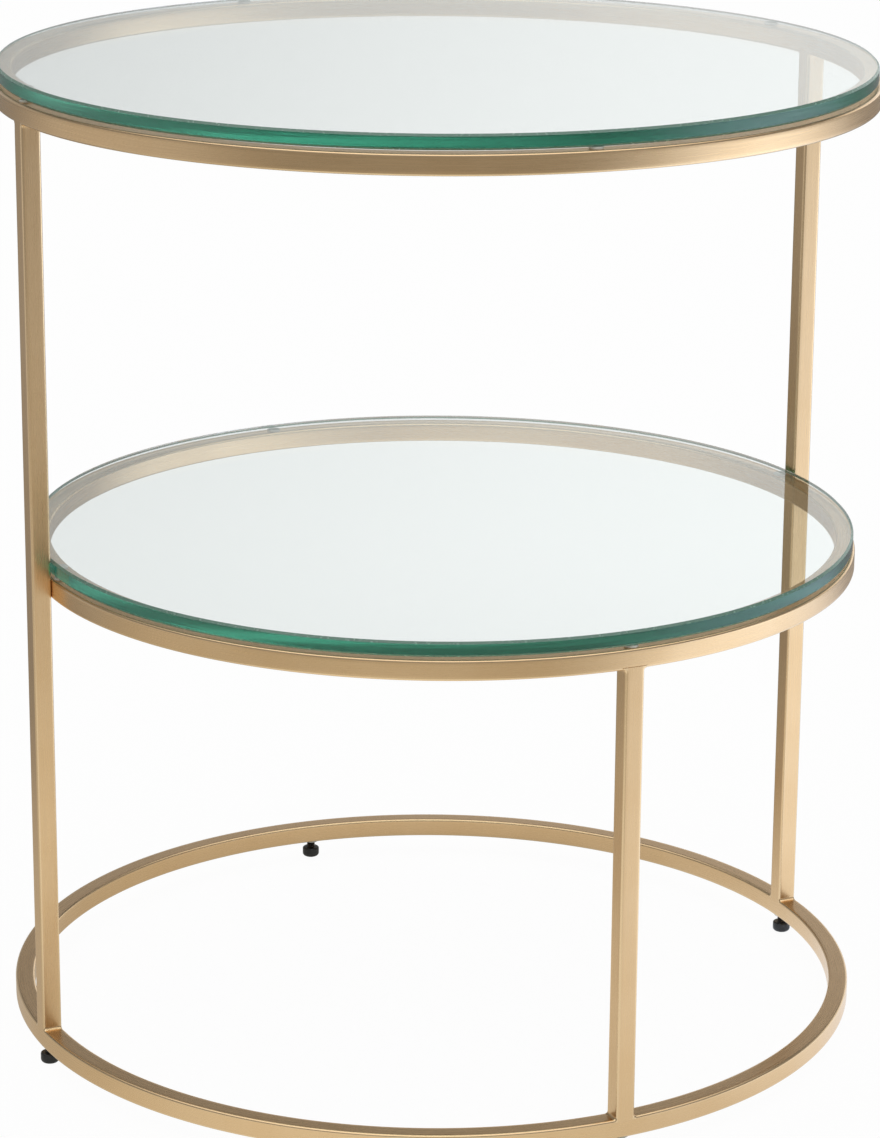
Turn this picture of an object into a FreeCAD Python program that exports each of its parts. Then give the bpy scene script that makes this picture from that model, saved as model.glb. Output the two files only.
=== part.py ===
import FreeCAD, Part
import os
import re

import Sketcher

# Tiered side table of square brass-finished tube and clear glass.
#
# Three welded rings are carried by three legs. The top ring and the base ring are the same size and stand
# in line. Two tall legs join them at the left (-X) and the right (+X). The shelf ring is smaller: it sits
# between the tall legs and is shifted forward by one tube, so that its front face is flush with the short
# leg under it, which stands on the base ring at the front (-Y). A round glass lies on clear bumpers on the
# top ring and another on the shelf ring. Four levelling feet screw into inserts under the base ring.
#
# Millimetres, +Z up, origin on the floor under the middle of the base ring.

SIZES = (
    # The frame
    ("table_diameter", 560, "outside diameter of the top ring and the base ring"),
    ("tube_side", 12.7, "outside width of the square tube"),
    ("tube_wall", 1.2, "wall of the square tube"),
    ("tube_corner", 1.5, "outside corner radius of the square tube"),
    ("tall_leg_length", 590, "left and right legs, between the base ring and the top ring"),
    ("short_leg_length", 290.2, "front leg, between the base ring and the shelf ring"),
    ("weld_flat", 0.4, "depth ground off the shelf ring where it is welded to a tall leg"),
    ("vent_bore", 5, "vent hole that opens a ring into the leg welded over or under it"),
    # The places round the table, in degrees from +X towards +Y
    ("left_leg_turn", 180, "left tall leg and the foot under it"),
    ("right_leg_turn", 0, "right tall leg and the foot under it"),
    ("front_leg_turn", 270, "front leg and the foot under it"),
    ("back_foot_turn", 84, "fourth foot, at the back"),
    ("top_left_bumper_turn", 180, "top ring, left bumper"),
    ("top_front_bumper_turn", 264, "top ring, front bumper"),
    ("top_right_bumper_turn", 10, "top ring, right bumper"),
    ("top_back_bumper_turn", 94, "top ring, back bumper"),
    ("shelf_left_bumper_turn", 179, "shelf ring, left bumper"),
    ("shelf_front_bumper_turn", 270, "shelf ring, front bumper"),
    ("shelf_right_bumper_turn", 3, "shelf ring, right bumper"),
    ("shelf_back_bumper_turn", 92, "shelf ring, back bumper"),
    # The glass and the bumpers that it lies on
    ("glass_thickness", 9.5, "both glasses"),
    ("glass_arris", 1.4, "bevel ground along the glass edges"),
    ("top_setback", 2.5, "from the top ring's outer face in to the glass edge"),
    ("shelf_setback", 1.7, "from the shelf ring's outer face in to the glass edge"),
    ("bumper_height", 1.6, "clear bumper, and so the gap between ring and glass"),
    ("bumper_diameter", 9, "clear bumper at its foot"),
    ("bumper_land", 6, "flat top of the bumper that the glass lies on"),
    ("bumper_rim", 0.8, "height of the bumper's upright side"),
    # The levelling feet
    ("pad_diameter", 12, "foot pad"),
    ("pad_height", 7, "foot pad"),
    ("pad_round", 1.2, "rounding of the pad's upper edge"),
    ("sole_round", 2.4, "rounding of the pad's lower edge"),
    ("socket_depth", 4.5, "depth of the stud's socket in the pad"),
    ("stud_diameter", 6, "threaded stud"),
    ("stud_length", 18, "threaded stud"),
    ("stud_bevel", 0.8, "bevel on the ends of the stud"),
    ("stud_show", 5.5, "length of stud between the pad and the base ring"),
    ("running_clearance", 0.05, "between the stud and the bores that it turns in, all round"),
    ("insert_diameter", 8, "barrel of the threaded insert"),
    ("insert_length", 7.5, "barrel of the threaded insert, above the underside of the ring"),
    ("insert_flange", 10.5, "flange of the insert, under the ring"),
    ("insert_lip", 0.8, "thickness of the insert's flange"),
    ("insert_clearance", 0.05, "between the insert and its hole in the ring, all round"),
)

# Sizes and levels that follow from the ones above.
RING_RADIUS = "(table_diameter / 2)"
TUBE_LINE = "(table_diameter / 2 - tube_side / 2)"
LEG_INNER_FACE = "(table_diameter / 2 - tube_side)"
SHELF_RADIUS = f"({LEG_INNER_FACE} + weld_flat)"
SHELF_TUBE_LINE = f"({SHELF_RADIUS} - tube_side / 2)"
SHELF_SHIFT = f"({RING_RADIUS} - {SHELF_RADIUS})"
BASE_LEVEL = "(pad_height + stud_show)"
LEG_LEVEL = f"({BASE_LEVEL} + tube_side)"
SHELF_LEVEL = f"({LEG_LEVEL} + short_leg_length)"
TOP_LEVEL = f"({LEG_LEVEL} + tall_leg_length)"
SHELF_BUMPER_LEVEL = f"({SHELF_LEVEL} + tube_side)"
TOP_BUMPER_LEVEL = f"({TOP_LEVEL} + tube_side)"
SHELF_GLASS_LEVEL = f"({SHELF_BUMPER_LEVEL} + bumper_height)"
TOP_GLASS_LEVEL = f"({TOP_BUMPER_LEVEL} + bumper_height)"
SOCKET_FLOOR = "(pad_height - socket_depth)"
STUD_BORE = "(stud_diameter + 2 * running_clearance)"

LEG_TURNS = {"left": "left_leg_turn", "right": "right_leg_turn", "front": "front_leg_turn"}
FOOT_TURNS = {**LEG_TURNS, "back": "back_foot_turn"}
BUMPER_SIDES = ("left", "front", "right", "back")

SAME = 1e-4  # two lengths this close, in mm, are the same length
ALIAS = re.compile(r"\b(" + "|".join(name for name, _, _ in SIZES) + r")\b")


def make_sheet(doc):
    """Write the driving sizes into the document's spreadsheet."""
    sheet = doc.addObject("Spreadsheet::Sheet", "Sizes")
    for row, (alias, value, note) in enumerate(SIZES, start=1):
        sheet.set(f"A{row}", note)
        sheet.set(f"B{row}", str(value))
        sheet.setAlias(f"B{row}", alias)
    doc.recompute()


def formula(text):
    """Give a formula in size names as an expression on the spreadsheet."""
    return ALIAS.sub(r"Sizes.\1", text)


def bind(thing, path, text):
    """Bind one property of a document object to a formula in size names."""
    thing.setExpression(path, formula(text))


def value_of(thing, text):
    """Work out a formula in size names, in millimetres or degrees."""
    return float(thing.evalExpression(formula(text)))


def new_body(doc, label):
    """Start a sub-part."""
    body = doc.addObject("PartDesign::Body", label)
    body.Label = label
    return body


def stand_at(body, level, radius="0", turn="0", shift="0"):
    """Place a body at a level and at a place round the table, shifted towards the front."""
    bind(body, "Placement.Base.x", f"{radius} * cos({turn} * 1 deg)")
    bind(body, "Placement.Base.y", f"{radius} * sin({turn} * 1 deg) - {shift}")
    bind(body, "Placement.Base.z", level)


def origin_item(body, role):
    """Find a plane or an axis of the body's own origin."""
    return next(item for item in body.Origin.OriginFeatures if item.Role == role)


def new_sketch(body, name, plane, turn=0, offset=("0", "0", "0")):
    """Start a sketch on an origin plane of the body, turned in that plane and moved in its own axes."""
    sketch = body.newObject("Sketcher::SketchObject", name)
    sketch.AttachmentSupport = [(origin_item(body, plane), "")]
    sketch.MapMode = "FlatFace"
    upright = FreeCAD.Vector(0, 0, 1)
    sketch.AttachmentOffset = FreeCAD.Placement(FreeCAD.Vector(), FreeCAD.Rotation(upright, turn))
    for axis, text in zip("xyz", offset):
        if text != "0":
            bind(sketch, f"AttachmentOffset.Base.{axis}", text)
    return sketch


def constrain(sketch, kind, *where, to=None):
    """Add a constraint to a sketch, a dimension where a formula is given."""
    if to is None:
        sketch.addConstraint(Sketcher.Constraint(kind, *where))
        return
    index = sketch.addConstraint(Sketcher.Constraint(kind, *where, value_of(sketch, to)))
    sketch.setExpression(f"Constraints[{index}]", formula(to))


def draw_round_square(sketch, side, corner):
    """Draw a square with round corners about the origin of a sketch."""
    half = value_of(sketch, f"{side} / 2")
    bend = value_of(sketch, corner)
    flat = half - bend
    across = FreeCAD.Vector(0, 0, 1)
    first = sketch.GeometryCount
    # Lines from the bottom one round, each followed by the corner at its end.
    starts = ((-flat, -half), (half, -flat), (flat, half), (-half, flat))
    ends = ((flat, -half), (half, flat), (-flat, half), (-half, -flat))
    centres = ((flat, -flat), (flat, flat), (-flat, flat), (-flat, -flat))
    quarter = 1.5707963267948966
    for number in range(4):
        start = FreeCAD.Vector(*starts[number], 0)
        end = FreeCAD.Vector(*ends[number], 0)
        sketch.addGeometry(Part.LineSegment(start, end))
        circle = Part.Circle(FreeCAD.Vector(*centres[number], 0), across, bend)
        sketch.addGeometry(Part.ArcOfCircle(circle, (number - 1) * quarter, number * quarter))
    bottom, right, top, left = (first + 2 * number for number in range(4))
    for number in range(4):
        line = first + 2 * number
        arc = line + 1
        following = first + 2 * ((number + 1) % 4)
        constrain(sketch, "Tangent", line, 2, arc, 1)
        constrain(sketch, "Tangent", arc, 2, following, 1)
    for line in (bottom, top):
        constrain(sketch, "Horizontal", line)
    for line in (right, left):
        constrain(sketch, "Vertical", line)
    for number in range(1, 4):
        constrain(sketch, "Equal", first + 1, first + 2 * number + 1)
    constrain(sketch, "Radius", first + 1, to=corner)
    constrain(sketch, "DistanceX", -1, 1, right, 1, to=f"{side} / 2")
    constrain(sketch, "DistanceX", left, 1, -1, 1, to=f"{side} / 2")
    constrain(sketch, "DistanceY", -1, 1, top, 1, to=f"{side} / 2")
    constrain(sketch, "DistanceY", bottom, 1, -1, 1, to=f"{side} / 2")


def draw_tube_section(sketch):
    """Draw the hollow section of the square tube."""
    draw_round_square(sketch, "tube_side", "tube_corner")
    draw_round_square(sketch, "(tube_side - 2 * tube_wall)", "max(tube_corner - tube_wall; tube_corner / 5)")


def draw_circle(sketch, diameter, distance="0"):
    """Draw a circle whose centre is on the sketch's X axis, at a distance from its origin."""
    centre = FreeCAD.Vector(value_of(sketch, distance), 0, 0)
    radius = value_of(sketch, f"{diameter} / 2")
    circle = sketch.addGeometry(Part.Circle(centre, FreeCAD.Vector(0, 0, 1), radius))
    constrain(sketch, "Diameter", circle, to=diameter)
    if distance == "0":
        constrain(sketch, "Coincident", circle, 3, -1, 1)
        return
    constrain(sketch, "PointOnObject", circle, 3, -1)
    constrain(sketch, "DistanceX", -1, 1, circle, 3, to=distance)


def draw_outline(sketch, points):
    """Draw a closed outline through points given as formulas, none of them left of or below the origin."""
    places = [FreeCAD.Vector(value_of(sketch, x), value_of(sketch, y), 0) for x, y in points]
    count = len(points)
    for number in range(count):
        sketch.addGeometry(Part.LineSegment(places[number], places[(number + 1) % count]))
    for number, (x, y) in enumerate(points):
        constrain(sketch, "Coincident", number - 1 if number else count - 1, 2, number, 1)
        if x == "0":
            constrain(sketch, "PointOnObject", number, 1, -2)
        else:
            constrain(sketch, "DistanceX", -1, 1, number, 1, to=x)
        if y == "0":
            constrain(sketch, "PointOnObject", number, 1, -1)
        else:
            constrain(sketch, "DistanceY", -1, 1, number, 1, to=y)


def pad(body, sketch, length):
    """Pad a sketch upwards."""
    feature = body.newObject("PartDesign::Pad", f"{sketch.Name}_pad")
    feature.Profile = sketch
    bind(feature, "Length", length)
    return feature


def revolve(body, sketch):
    """Turn a sketch once round the body's own Z axis."""
    feature = body.newObject("PartDesign::Revolution", f"{sketch.Name}_turned")
    feature.Profile = sketch
    feature.ReferenceAxis = (origin_item(body, "Z_Axis"), [""])
    feature.Angle = 360
    return feature


def cut(body, sketch, depth, upwards):
    """Cut a sketch into the body and make sure that it took something away."""
    feature = body.newObject("PartDesign::Pocket", f"{sketch.Name}_cut")
    before = feature.BaseFeature
    feature.Profile = sketch
    feature.Reversed = upwards
    bind(feature, "Length", depth)
    body.Document.recompute()
    if not feature.Shape.Volume < before.Shape.Volume:
        raise RuntimeError(f"{feature.Name} cuts nothing")
    return feature


def circles_at(shape, places):
    """Name the circular edges of a shape that have a given radius and height."""
    names = []
    for number, edge in enumerate(shape.Edges, start=1):
        if not isinstance(edge.Curve, Part.Circle):
            continue
        for radius, height in places:
            same_radius = abs(edge.Curve.Radius - radius) < SAME
            same_height = abs(edge.Curve.Center.z - height) < SAME
            if same_radius and same_height:
                names.append(f"Edge{number}")
    return names


def dress_edges(body, kind, size_path, size, places):
    """Fillet or chamfer the circular edges at places given as formulas for radius and height."""
    body.Document.recompute()
    base = body.Tip
    wanted = [(value_of(base, radius), value_of(base, height)) for radius, height in places]
    edges = circles_at(base.Shape, wanted)
    if len(edges) < len(wanted):
        raise RuntimeError(f"{body.Label}: an edge to dress is missing")
    feature = body.newObject(f"PartDesign::{kind}", f"{body.Name}_{kind.lower()}")
    feature.Base = (base, edges)
    bind(feature, size_path, size)
    return feature


def make_ring(doc, label, tube_line, level, shift="0"):
    """Bend the square tube into a ring, with its underside at a level."""
    body = new_body(doc, label)
    middle = (tube_line, "tube_side / 2", "0")
    section = new_sketch(body, f"{label}_section", "XZ_Plane", offset=middle)
    draw_tube_section(section)
    revolve(body, section)
    stand_at(body, level, shift=shift)
    return body


def drill_wall(body, name, tube_line, turn, bore, from_above):
    """Drill one wall of a ring's tube into its hollow, the upper one from above or the lower from below."""
    face = "tube_side" if from_above else "0"
    angle = value_of(body, turn)
    sketch = new_sketch(body, name, "XY_Plane", turn=angle, offset=("0", "0", face))
    draw_circle(sketch, bore, distance=tube_line)
    cut(body, sketch, "tube_side / 2", upwards=not from_above)


def grind_flat(body, name, turn):
    """Grind a shelf ring flat where a tall leg's inner face meets it."""
    sketch = new_sketch(body, name, "XY_Plane", turn=value_of(body, turn))
    reach = value_of(sketch, SHELF_RADIUS)
    inner = value_of(sketch, LEG_INNER_FACE)
    corners = ((inner, -reach), (reach + inner, -reach), (reach + inner, reach), (inner, reach))
    places = [FreeCAD.Vector(x, y, 0) for x, y in corners]
    for number in range(4):
        sketch.addGeometry(Part.LineSegment(places[number], places[(number + 1) % 4]))
    for number in range(4):
        constrain(sketch, "Coincident", number, 2, (number + 1) % 4, 1)
    for line in (0, 2):
        constrain(sketch, "Horizontal", line)
    for line in (1, 3):
        constrain(sketch, "Vertical", line)
    constrain(sketch, "DistanceX", -1, 1, 0, 1, to=LEG_INNER_FACE)
    constrain(sketch, "DistanceX", 0, 1, 0, 2, to=SHELF_RADIUS)
    constrain(sketch, "DistanceY", 1, 1, -1, 1, to=SHELF_RADIUS)
    constrain(sketch, "DistanceY", -1, 1, 1, 2, to=SHELF_RADIUS)
    cut(body, sketch, "tube_side", upwards=True)


def make_top_ring(doc):
    """Make the ring that carries the top glass, vented into the tall legs."""
    body = make_ring(doc, "top_ring", TUBE_LINE, TOP_LEVEL)
    for side in ("left", "right"):
        drill_wall(body, f"top_vent_{side}", TUBE_LINE, LEG_TURNS[side], "vent_bore", from_above=False)
    return body


def make_shelf_ring(doc):
    """Make the smaller ring that carries the shelf glass between the tall legs."""
    body = make_ring(doc, "shelf_ring", SHELF_TUBE_LINE, SHELF_LEVEL, shift=SHELF_SHIFT)
    for side in ("left", "right"):
        grind_flat(body, f"shelf_flat_{side}", LEG_TURNS[side])
    drill_wall(body, "shelf_vent", SHELF_TUBE_LINE, LEG_TURNS["front"], "vent_bore", from_above=False)
    return body


def make_base_ring(doc):
    """Make the ring that the legs stand on, with the holes for the foot inserts."""
    body = make_ring(doc, "base_ring", TUBE_LINE, BASE_LEVEL)
    insert_hole = "(insert_diameter + 2 * insert_clearance)"
    for side, turn in LEG_TURNS.items():
        drill_wall(body, f"base_vent_{side}", TUBE_LINE, turn, "vent_bore", from_above=True)
    for side, turn in FOOT_TURNS.items():
        drill_wall(body, f"insert_hole_{side}", TUBE_LINE, turn, insert_hole, from_above=False)
    return body


def make_leg(doc, side, length):
    """Make an upright leg of open square tube, which stands on the base ring."""
    body = new_body(doc, f"leg_{side}")
    section = new_sketch(body, f"leg_{side}_section", "XY_Plane")
    draw_tube_section(section)
    pad(body, section, length)
    stand_at(body, LEG_LEVEL, radius=TUBE_LINE, turn=LEG_TURNS[side])
    return body


def make_glass(doc, label, radius, level, shift="0"):
    """Make a round glass with a bevel ground along both edges."""
    body = new_body(doc, label)
    sketch = new_sketch(body, f"{label}_disc", "XY_Plane")
    draw_circle(sketch, f"(2 * {radius})")
    pad(body, sketch, "glass_thickness")
    edges = ((radius, "0"), (radius, "glass_thickness"))
    dress_edges(body, "Chamfer", "Size", "glass_arris", edges)
    stand_at(body, level, shift=shift)
    return body


def make_bumper(doc, tier, side, tube_line, level, shift="0"):
    """Make a clear bumper: an upright rim, sloping shoulders and a flat land for the glass."""
    label = f"{tier}_bumper_{side}"
    body = new_body(doc, label)
    sketch = new_sketch(body, f"{label}_outline", "XZ_Plane")
    outline = (
        ("0", "0"),
        ("bumper_diameter / 2", "0"),
        ("bumper_diameter / 2", "bumper_rim"),
        ("bumper_land / 2", "bumper_height"),
        ("0", "bumper_height"),
    )
    draw_outline(sketch, outline)
    revolve(body, sketch)
    shoulder = (("bumper_diameter / 2", "bumper_rim"),)
    dress_edges(body, "Fillet", "Radius", "bumper_rim / 2", shoulder)
    stand_at(body, level, radius=tube_line, turn=f"{tier}_{side}_bumper_turn", shift=shift)
    return body


def make_foot_insert(doc, side):
    """Make the threaded insert that is set in the underside of the base ring."""
    label = f"foot_insert_{side}"
    body = new_body(doc, label)
    sketch = new_sketch(body, f"{label}_outline", "XZ_Plane")
    top = "(insert_lip + insert_length)"
    outline = (
        (f"{STUD_BORE} / 2", "0"),
        ("insert_flange / 2", "0"),
        ("insert_flange / 2", "insert_lip"),
        ("insert_diameter / 2", "insert_lip"),
        ("insert_diameter / 2", top),
        (f"{STUD_BORE} / 2", top),
    )
    draw_outline(sketch, outline)
    revolve(body, sketch)
    level = f"({BASE_LEVEL} - insert_lip)"
    stand_at(body, level, radius=TUBE_LINE, turn=FOOT_TURNS[side])
    return body


def make_foot_stud(doc, side):
    """Make the threaded stud, which turns in the insert and in the pad's socket."""
    label = f"foot_stud_{side}"
    body = new_body(doc, label)
    sketch = new_sketch(body, f"{label}_disc", "XY_Plane")
    draw_circle(sketch, "stud_diameter")
    pad(body, sketch, "stud_length")
    ends = (("stud_diameter / 2", "0"), ("stud_diameter / 2", "stud_length"))
    dress_edges(body, "Chamfer", "Size", "stud_bevel", ends)
    stand_at(body, SOCKET_FLOOR, radius=TUBE_LINE, turn=FOOT_TURNS[side])
    return body


def make_foot_pad(doc, side):
    """Make the foot's round pad with the socket that the stud turns in."""
    label = f"foot_pad_{side}"
    body = new_body(doc, label)
    sketch = new_sketch(body, f"{label}_outline", "XZ_Plane")
    outline = (
        ("0", "0"),
        ("pad_diameter / 2", "0"),
        ("pad_diameter / 2", "pad_height"),
        (f"{STUD_BORE} / 2", "pad_height"),
        (f"{STUD_BORE} / 2", SOCKET_FLOOR),
        ("0", SOCKET_FLOOR),
    )
    draw_outline(sketch, outline)
    revolve(body, sketch)
    dress_edges(body, "Fillet", "Radius", "sole_round", (("pad_diameter / 2", "0"),))
    dress_edges(body, "Fillet", "Radius", "pad_round", (("pad_diameter / 2", "pad_height"),))
    stand_at(body, "0", radius=TUBE_LINE, turn=FOOT_TURNS[side])
    return body


def make_table(doc):
    """Make every sub-part of the table and give them as a list."""
    parts = [make_top_ring(doc), make_shelf_ring(doc), make_base_ring(doc)]
    for side in LEG_TURNS:
        length = "short_leg_length" if side == "front" else "tall_leg_length"
        parts.append(make_leg(doc, side, length))
    top_radius = f"({RING_RADIUS} - top_setback)"
    shelf_radius = f"({SHELF_RADIUS} - shelf_setback)"
    parts.append(make_glass(doc, "top_glass", top_radius, TOP_GLASS_LEVEL))
    parts.append(make_glass(doc, "shelf_glass", shelf_radius, SHELF_GLASS_LEVEL, shift=SHELF_SHIFT))
    for side in BUMPER_SIDES:
        parts.append(make_bumper(doc, "top", side, TUBE_LINE, TOP_BUMPER_LEVEL))
    for side in BUMPER_SIDES:
        parts.append(make_bumper(doc, "shelf", side, SHELF_TUBE_LINE, SHELF_BUMPER_LEVEL, SHELF_SHIFT))
    for side in FOOT_TURNS:
        parts.append(make_foot_insert(doc, side))
        parts.append(make_foot_stud(doc, side))
        parts.append(make_foot_pad(doc, side))
    return parts


def check_document(doc, parts):
    """Stop if any object failed to rebuild or any sub-part isn't a sound single solid."""
    for item in doc.Objects:
        if "Invalid" in item.State or "Error" in item.State:
            raise RuntimeError(f"{item.Name} did not rebuild: {item.State}")
    for body in parts:
        if body.Shape.isNull() or not body.Shape.isValid():
            raise RuntimeError(f"{body.Label} has no sound shape")
        if len(body.Shape.Solids) != 1:
            raise RuntimeError(f"{body.Label} is not one solid")


def main():
    """Build the table and write one STEP file for each sub-part."""
    doc = FreeCAD.newDocument("tiered_side_table")
    make_sheet(doc)
    parts = make_table(doc)
    doc.recompute()
    check_document(doc, parts)
    os.makedirs("parts", exist_ok=True)
    for body in parts:
        body.Shape.exportStep(f"parts/{body.Label}.step")
        print(f"{body.Label}: {body.Shape.Volume:.1f} mm3")


main()
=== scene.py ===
"""Dresses the tiered side table: brushed brass tube, clear glass, bumpers and levelling feet.

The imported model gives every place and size. Each sub-assembly below is a class that holds its own
sizes, builds its meshes, finishes them and hangs them on the bodies they move with.
"""

import logging
import math
from collections.abc import Callable, Sequence
from dataclasses import dataclass
from enum import Enum
from typing import Any

import bmesh
import bpy
from mathutils import Matrix, Vector


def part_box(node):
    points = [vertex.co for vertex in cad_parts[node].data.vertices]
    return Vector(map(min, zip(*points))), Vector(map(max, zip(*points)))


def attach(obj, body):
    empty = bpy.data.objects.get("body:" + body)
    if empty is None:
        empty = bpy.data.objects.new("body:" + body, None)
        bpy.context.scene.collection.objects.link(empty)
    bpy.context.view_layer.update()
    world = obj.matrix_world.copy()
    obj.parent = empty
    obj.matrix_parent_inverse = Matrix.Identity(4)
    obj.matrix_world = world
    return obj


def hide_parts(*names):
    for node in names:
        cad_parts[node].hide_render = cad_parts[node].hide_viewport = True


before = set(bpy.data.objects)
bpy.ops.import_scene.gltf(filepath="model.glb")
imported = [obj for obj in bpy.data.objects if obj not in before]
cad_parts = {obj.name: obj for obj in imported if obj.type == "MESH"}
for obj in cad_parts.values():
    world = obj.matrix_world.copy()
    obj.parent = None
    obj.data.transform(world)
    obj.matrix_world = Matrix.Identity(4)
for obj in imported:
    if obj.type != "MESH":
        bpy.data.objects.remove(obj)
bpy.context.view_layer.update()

LOG = logging.getLogger("side_table")

MM = 0.001
UP = Vector((0.0, 0.0, 1.0))
RIGHT_ANGLE = 90.0

Colour = tuple[float, float, float]
Span = tuple[float, float]
Point = tuple[float, float]
Material = bpy.types.Material
Mesh = bpy.types.Mesh
Node = bpy.types.Node
Object = bpy.types.Object
Shape = bmesh.types.BMesh
Socket = bpy.types.NodeSocket
Wires = dict[str | int, Any]
TreeInputs = dict[str, Any]

WHITE: Colour = (1.0, 1.0, 1.0)

SOCKET_KINDS = {
    int: "NodeSocketInt",
    float: "NodeSocketFloat",
    tuple: "NodeSocketVector",
    Object: "NodeSocketObject",
    Material: "NodeSocketMaterial",
}


class Tier(Enum):
    """The three levels of the table, named as their rings are."""

    TOP = "top"
    SHELF = "shelf"
    BASE = "base"


class Side(Enum):
    """The places round the table that hold a leg, a bumper or a foot."""

    LEFT = "left"
    RIGHT = "right"
    FRONT = "front"
    BACK = "back"


class Ground(Enum):
    """How a face of the glass was finished."""

    FACE = "face"
    EDGE = "edge"
    BEVEL = "bevel"


class GrainPath(Enum):
    """The way the brushing belt ran along a piece of tube."""

    ROUND = "round"
    UPRIGHT = "upright"


LEG_SIDES = (Side.LEFT, Side.RIGHT, Side.FRONT)
GLASS_TIERS = (Tier.SHELF, Tier.TOP)


# ---------------- Node trees and meshes ----------------


class NodeKit:
    """Adds nodes to one node tree and wires them up."""

    def __init__(self, tree: bpy.types.NodeTree) -> None:
        """Take a tree and empty it."""
        self.tree = tree
        tree.nodes.clear()

    def add(self, kind: str, wires: Wires | None = None, **settings: Any) -> Node:
        """Add one node.

        Args:
            kind: Blender's name for the kind of node.
            wires: What goes into each input, by name or number: a socket to join or a plain value.
            **settings: The node's own settings.

        Returns:
            The new node.
        """
        node = self.tree.nodes.new(kind)
        for name, value in settings.items():
            setattr(node, name, value)
        for key, value in (wires or {}).items():
            if isinstance(value, Socket):
                self.tree.links.new(value, node.inputs[key])
            else:
                node.inputs[key].default_value = value
        return node

    def math(self, operation: str, *terms: Any) -> Socket:
        """Work out one step of arithmetic on sockets and numbers."""
        return self.add("ShaderNodeMath", dict(enumerate(terms)), operation=operation).outputs[0]

    def hypot(self, first: Socket, second: Socket) -> Socket:
        """Give the long side of a right triangle from its two short sides."""
        squares = [self.math("POWER", side, 2.0) for side in (first, second)]
        return self.math("SQRT", self.math("ADD", *squares))

    def vector(self, operation: str, *terms: Any) -> Socket:
        """Work out one step of arithmetic on vectors.

        Args:
            operation: Blender's name for the step.
            *terms: The sockets and plain vectors that it takes.

        Returns:
            The result's socket: a number for a product or a distance, and otherwise a vector.
        """
        node = self.add("ShaderNodeVectorMath", dict(enumerate(terms)), operation=operation)
        gives_number = operation in ("DOT_PRODUCT", "DISTANCE")
        return node.outputs["Value" if gives_number else "Vector"]

    def scaled(self, colour: Colour, level: Socket) -> Socket:
        """Give a colour at a level that varies."""
        wires = {0: colour, "Scale": level}
        return self.add("ShaderNodeVectorMath", wires, operation="SCALE").outputs[0]

    def ramp(self, value: Socket, span: Sequence[Any], to: Span = (0.0, 1.0)) -> Socket:
        """Ease a value from one level to another.

        Args:
            value: The socket that is read.
            span: Where the first level ends and the second starts.
            to: The two levels.

        Returns:
            The eased value's socket.
        """
        wires = {"Value": value, "From Min": span[0], "From Max": span[1], "To Min": to[0], "To Max": to[1]}
        node = self.add("ShaderNodeMapRange", wires, interpolation_type="SMOOTHSTEP")
        return node.outputs["Result"]

    def blend(self, share: Socket, first: Any, second: Any) -> Socket:
        """Mix two colours, the second by the share given."""
        wires = {0: share, 6: first, 7: second}
        return self.add("ShaderNodeMix", wires, data_type="RGBA").outputs[2]

    def shaped(self, geometry: Socket, spots: Socket) -> Socket:
        """Put a shape's points in new places."""
        return self.add("GeometryNodeSetPosition", {"Geometry": geometry, "Position": spots}).outputs[0]

    def moved(self, geometry: Socket, given: Node, turn: Wires | None = None) -> Socket:
        """Move a shape to the tree's Centre, turned if a turn is given."""
        wires = {"Geometry": geometry, "Translation": given.outputs["Centre"]}
        return self.add("GeometryNodeTransform", wires | (turn or {})).outputs[0]

    def place(self, centre: Vector | None = None) -> Socket:
        """Read a point's place on the object, measured from a centre if one is given.

        Args:
            centre: Where the pattern that reads it has its middle.

        Returns:
            The place's socket.
        """
        place = self.add("ShaderNodeTexCoord").outputs["Object"]
        if centre is None:
            return place
        return self.add("ShaderNodeMapping", {"Vector": place, "Location": tuple(-centre)}).outputs[0]

    def noise(self, place: Socket, size: float = 1.0, detail: float = 2.0, rough: float = 0.5) -> Socket:
        """Read soft clouds of a size, from 0 to 1, with the count and strength of their finer layers."""
        wires = {"Vector": place, "Scale": 1.0 / size, "Detail": detail, "Roughness": rough}
        return self.add("ShaderNodeTexNoise", wires).outputs[0]

    def relief(self, height: Socket, depth: float, strength: float = 1.0) -> Socket:
        """Raise a surface by a pattern's height."""
        wires = {"Strength": strength, "Distance": depth, "Height": height}
        return self.add("ShaderNodeBump", wires).outputs[0]

    def surface(self, wires: Wires, volume: Socket | None = None) -> None:
        """End a material in one shader.

        Args:
            wires: What goes into the shader.
            volume: What fills the body under the surface, if it is clear.
        """
        ends = {"Surface": self.add("ShaderNodeBsdfPrincipled", wires).outputs[0]}
        if volume is not None:
            ends["Volume"] = volume
        self.add("ShaderNodeOutputMaterial", ends)


def rgba(colour: Colour, strength: float = 1.0) -> tuple[float, float, float, float]:
    """Give a colour at a strength with the fourth number that colour sockets take."""
    red, green, blue = (channel * strength for channel in colour)
    return (red, green, blue, 1.0)


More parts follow.
